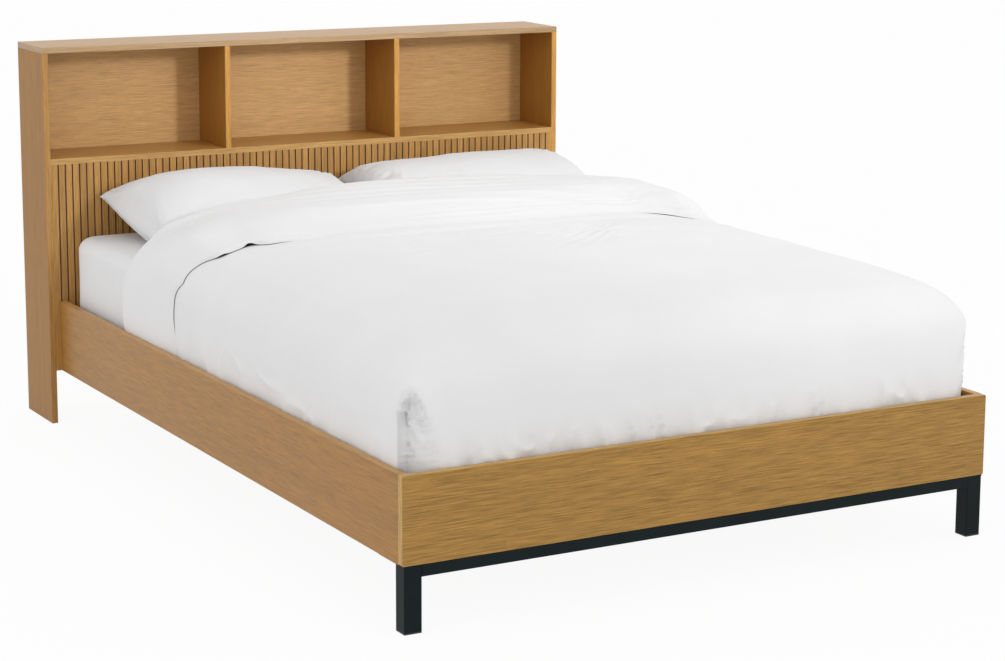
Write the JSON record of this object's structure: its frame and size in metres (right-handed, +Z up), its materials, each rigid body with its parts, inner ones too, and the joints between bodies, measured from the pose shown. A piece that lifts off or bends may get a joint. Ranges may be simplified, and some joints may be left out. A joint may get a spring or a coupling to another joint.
{
  "type": "bookcase headboard bed",
  "caption": "Double bed with an open-compartment bookcase headboard, grooved front panel, low side rails, slatted base, black metal foot legs, mattress, pillows and duvet.",
  "frame": {"origin": "on the floor, at the centre of the bed's plan", "axes": "+X to the right seen from the foot of the bed, +Y from the foot towards the headboard, +Z up"},
  "size_m": [1.47, 2.107, 0.955],
  "materials": {
    "oak_veneer": "satin oak veneer",
    "plain_pine": "planed pine",
    "beech_dowel": "planed beech",
    "black_metal": "satin black powder coat",
    "zinc_steel": "zinc-plated",
    "bright_screws": "zinc-plated",
    "black_plastic": "matt",
    "mattress_ticking": "quilted ticking",
    "white_cotton": "plain-woven cotton",
    "white_pillow": "plain-woven cotton",
    "white_duvet": "plain-woven cotton"
  },
  "bodies": {
    "bed_frame": {"headboard_top": "oak_veneer", "headboard_side_left": "oak_veneer", "headboard_side_right": "oak_veneer", "headboard_shelf": "oak_veneer", "headboard_divider_left": "oak_veneer", "headboard_divider_right": "oak_veneer", "headboard_back_panel": "oak_veneer", "headboard_grooved_panel": "oak_veneer", "side_rail_left": "oak_veneer", "side_rail_right": "oak_veneer", "footboard": "oak_veneer", "headboard_bolt_rail": "plain_pine", "headboard_stretcher": "plain_pine", "headboard_cleat_left": "plain_pine", "headboard_cleat_right": "plain_pine", "slat_ledger_left": "plain_pine", "slat_ledger_right": "plain_pine", "corner_block_left": "plain_pine", "corner_block_right": "plain_pine", "centre_beam": "plain_pine", "centre_post": "plain_pine", "slat_01": "plain_pine", "slat_02": "plain_pine", "slat_03": "plain_pine", "slat_04": "plain_pine", "slat_05": "plain_pine", "slat_06": "plain_pine", "slat_07": "plain_pine", "slat_08": "plain_pine", "slat_09": "plain_pine", "slat_10": "plain_pine", "slat_11": "plain_pine", "slat_12": "plain_pine", "foot_leg_left": "black_metal", "foot_leg_right": "black_metal", "foot_crossbar": "black_metal", "leg_plate_left": "black_metal", "leg_plate_right": "black_metal", "corner_bracket_left": "zinc_steel", "corner_bracket_right": "zinc_steel", "beam_hanger_head": "zinc_steel", "beam_hanger_foot": "zinc_steel", "headboard_cams": "bright_screws", "headboard_cam_bolts": "bright_screws", "short_screws": "bright_screws", "long_screws": "bright_screws", "rail_bolts": "bright_screws", "rail_nuts": "bright_screws", "leg_plate_bolts": "bright_screws", "centre_post_stud": "bright_screws", "wood_dowels": "beech_dowel", "leg_cap_left": "black_plastic", "leg_cap_right": "black_plastic", "centre_post_glide": "black_plastic"},
    "mattress": {"mattress": "mattress_ticking", "fitted_sheet": "white_cotton"},
    "duvet": {"duvet": "white_duvet"},
    "pillow_left": {"pillow_left": "white_pillow"},
    "pillow_right": {"pillow_right": "white_pillow"}
  },
  "joints": [
    {"name": "mattress_lift", "type": "slide", "parent": "bed_frame", "child": "mattress", "axis": [0, 0, 1], "range_m": [0, 0.25]},
    {"name": "duvet_lift", "type": "slide", "parent": "mattress", "child": "duvet", "axis": [0, 0, 1], "range_m": [0, 0.4]},
    {"name": "pillow_left_lift", "type": "slide", "parent": "mattress", "child": "pillow_left", "axis": [0, 0, 1], "range_m": [0, 0.2]},
    {"name": "pillow_right_lift", "type": "slide", "parent": "mattress", "child": "pillow_right", "axis": [0, 0, 1], "range_m": [0, 0.2]}
  ],
  "couplings": [
    {"joint": "pillow_left_lift", "follows": "duvet_lift", "ratio": 0.5},
    {"joint": "pillow_right_lift", "follows": "duvet_lift", "ratio": 0.5}
  ]
}
